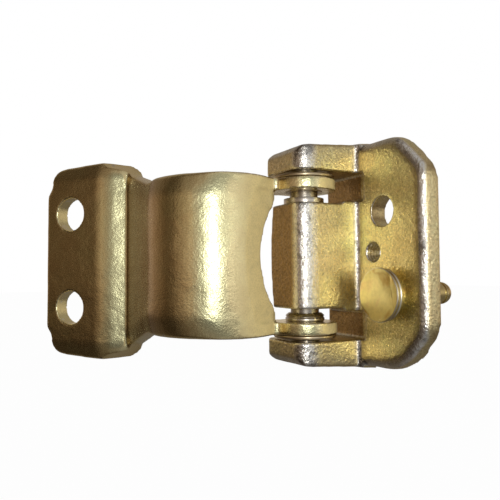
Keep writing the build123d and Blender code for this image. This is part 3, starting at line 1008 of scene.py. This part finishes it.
class HINGE_OT_stage(bpy.types.Operator):
    """Set the camera, the floor, the world and the lights"""

    bl_idname = "hinge.stage"
    bl_label = "Set the stage"

    def execute(self, context):
        stage = context.scene.hinge_stage
        self.camera(context, stage)
        self.floor(stage)
        self.world(context, stage)
        self.key_light(stage)
        self.tent(stage)
        context.scene.view_settings.view_transform = "Standard"
        return {"FINISHED"}

    def camera(self, context, stage):
        """Stand the camera where the photograph was taken."""
        deselect_all()
        bpy.ops.object.camera_add()
        camera = context.object
        camera.name = "photo_camera"
        ahead = around(Vector(), stage.camera_heading, stage.camera_pitch, 1.0)
        right = ahead.cross(Vector((0, 0, 1))).normalized()
        up = right.cross(ahead)
        lean = stage.camera_roll
        across = right * math.cos(lean) + up * math.sin(lean)
        above = up * math.cos(lean) - right * math.sin(lean)
        turn = Matrix((across, above, -ahead)).transposed()
        camera.matrix_world = Matrix.Translation(stage.camera_place) @ turn.to_4x4()
        camera.data.sensor_width = SENSOR_MM
        camera.data.lens = SENSOR_MM * stage.focal_pixels / IMAGE_SIZE
        camera.data.clip_start = 5.0 * MM
        context.scene.camera = camera

    def floor(self, stage):
        """Lay a plain floor that looks almost white to the camera and isn't mirrored in the metal."""
        deselect_all()
        bpy.ops.mesh.primitive_plane_add(
            size=stage.floor_size, location=(0, 0, CAD_BOX[0].z - stage.floor_drop)
        )
        floor = bpy.context.object
        floor.name = "studio_floor"
        floor.visible_glossy = False
        desk = NodeDesk("white_floor")
        desk.shader.inputs["Base Color"].default_value = (*stage.floor_colour, 1.0)
        desk.shader.inputs["Roughness"].default_value = 0.9
        desk.shader.inputs["Specular IOR Level"].default_value = 0.0
        glow = desk.add("ShaderNodeEmission")
        glow.inputs["Color"].default_value = (1.0, 1.0, 1.0, 1.0)
        blend = desk.add("ShaderNodeMixShader")
        seen = desk.add("ShaderNodeLightPath").outputs["Is Camera Ray"]
        desk.link(desk.product(seen, stage.floor_white), blend.inputs["Fac"])
        desk.link(desk.shader.outputs["BSDF"], blend.inputs[1])
        desk.link(glow.outputs["Emission"], blend.inputs[2])
        desk.link(blend.outputs["Shader"], desk.tree.nodes["Material Output"].inputs["Surface"])
        dress(floor, desk.material)

    def world(self, context, stage):
        """Light evenly all round, and look white to the camera and in mirrors and glass."""
        world = bpy.data.worlds.new("white_studio")
        world.use_nodes = True
        context.scene.world = world
        tree = world.node_tree
        backdrop = tree.nodes["Background"]
        backdrop.inputs["Color"].default_value = (1.0, 1.0, 1.0, 1.0)
        path = tree.nodes.new("ShaderNodeLightPath")
        seen = path.outputs["Is Camera Ray"]
        for ray in ("Is Glossy Ray", "Is Transmission Ray"):
            either = tree.nodes.new("ShaderNodeMath")
            either.operation = "MAXIMUM"
            tree.links.new(seen, either.inputs[0])
            tree.links.new(path.outputs[ray], either.inputs[1])
            seen = either.outputs["Value"]
        strength = tree.nodes.new("ShaderNodeMapRange")
        strength.inputs["To Min"].default_value = stage.ambient
        strength.inputs["To Max"].default_value = 1.0
        tree.links.new(seen, strength.inputs["Value"])
        tree.links.new(strength.outputs["Result"], backdrop.inputs["Strength"])

    def key_light(self, stage):
        """Stand a square soft box behind the camera and point it at the pin."""
        deselect_all()
        bpy.ops.object.light_add(type="AREA")
        light = bpy.context.object
        light.name = light.data.name = "key_soft_box"
        light.data.shape = "SQUARE"
        light.data.size = stage.key_size
        light.data.energy = stage.key_power
        light.location = around(PIN, stage.key_azimuth, stage.key_elevation, stage.key_distance)
        light.rotation_euler = (PIN - light.location).to_track_quat("-Z", "Y").to_euler()

    def tent(self, stage):
        """Hang a round tent of soft cloth, brightest behind the camera and brown in its shaded side."""
        deselect_all()
        bpy.ops.mesh.primitive_uv_sphere_add(radius=stage.tent_radius, location=PIN)
        tent = bpy.context.object
        tent.name = "light_tent"
        bpy.ops.object.shade_smooth()
        desk = NodeDesk("tent_cloth")
        turn = desk.add("ShaderNodeTexGradient", gradient_type="RADIAL")
        desk.link(desk.place, turn.inputs["Vector"])
        cloth = desk.ramp(turn.outputs["Fac"], *[
            (0.5 + azimuth / 360.0, self.cloth_colour(light)) for azimuth, light in TENT_LIGHT
        ])
        height = desk.product(desk.axes()[2], 1.0 / stage.tent_radius)
        dimmed = desk.product(desk.span(height, *TENT_LOW), desk.span(height, *TENT_HIGH))
        glow = desk.add("ShaderNodeEmission")
        desk.link(cloth, glow.inputs["Color"])
        desk.link(desk.product(dimmed, stage.tent_glow), glow.inputs["Strength"])
        desk.link(glow.outputs["Emission"], desk.tree.nodes["Material Output"].inputs["Surface"])
        dress(tent, desk.material)
        tent.visible_camera = False
        tent.visible_diffuse = False
        tent.visible_transmission = False
        tent.visible_shadow = False

    def cloth_colour(self, light):
        """The tent's cloth is white where it is bright and brown where it is dark."""
        return (light, light * (0.60 + 0.40 * light), light * (0.28 + 0.72 * light))


class HINGE_PT_sidebar(bpy.types.Panel):
    """Lists the steps that finish the hinge"""

    bl_idname = "HINGE_PT_sidebar"
    bl_label = "Car door hinge"
    bl_space_type = "VIEW_3D"
    bl_region_type = "UI"
    bl_category = "Hinge"

    def draw(self, context):
        for group, step in STEPS:
            box = self.layout.box()
            settings = getattr(context.scene, group)
            for name in settings.__annotations__:
                box.prop(settings, name)
            box.operator(step)


SETTINGS = {
    "hinge_forging": HingeForgingSettings,
    "hinge_hardware": HingeHardwareSettings,
    "hinge_stage": HingeStageSettings,
}
OPERATORS = (HINGE_OT_forgings, HINGE_OT_hardware, HINGE_OT_stud, HINGE_OT_stage)
STEPS = (
    ("hinge_forging", "hinge.forgings"),
    ("hinge_hardware", "hinge.hardware"),
    ("hinge_hardware", "hinge.stud"),
    ("hinge_stage", "hinge.stage"),
)


def register():
    """Register the settings, the operators and the panel."""
    for name, group in SETTINGS.items():
        bpy.utils.register_class(group)
        setattr(bpy.types.Scene, name, bpy.props.PointerProperty(type=group))
    for operator in OPERATORS:
        bpy.utils.register_class(operator)
    bpy.utils.register_class(HINGE_PT_sidebar)


def unregister():
    """Undo what register did."""
    bpy.utils.unregister_class(HINGE_PT_sidebar)
    for operator in reversed(OPERATORS):
        bpy.utils.unregister_class(operator)
    for name, group in SETTINGS.items():
        delattr(bpy.types.Scene, name)
        bpy.utils.unregister_class(group)


def main():
    """Register the add-on and run its steps in order."""
    register()
    bpy.ops.hinge.forgings()
    bpy.ops.hinge.hardware()
    bpy.ops.hinge.stud()
    bpy.ops.hinge.stage()


if __name__ == "__main__":
    main()
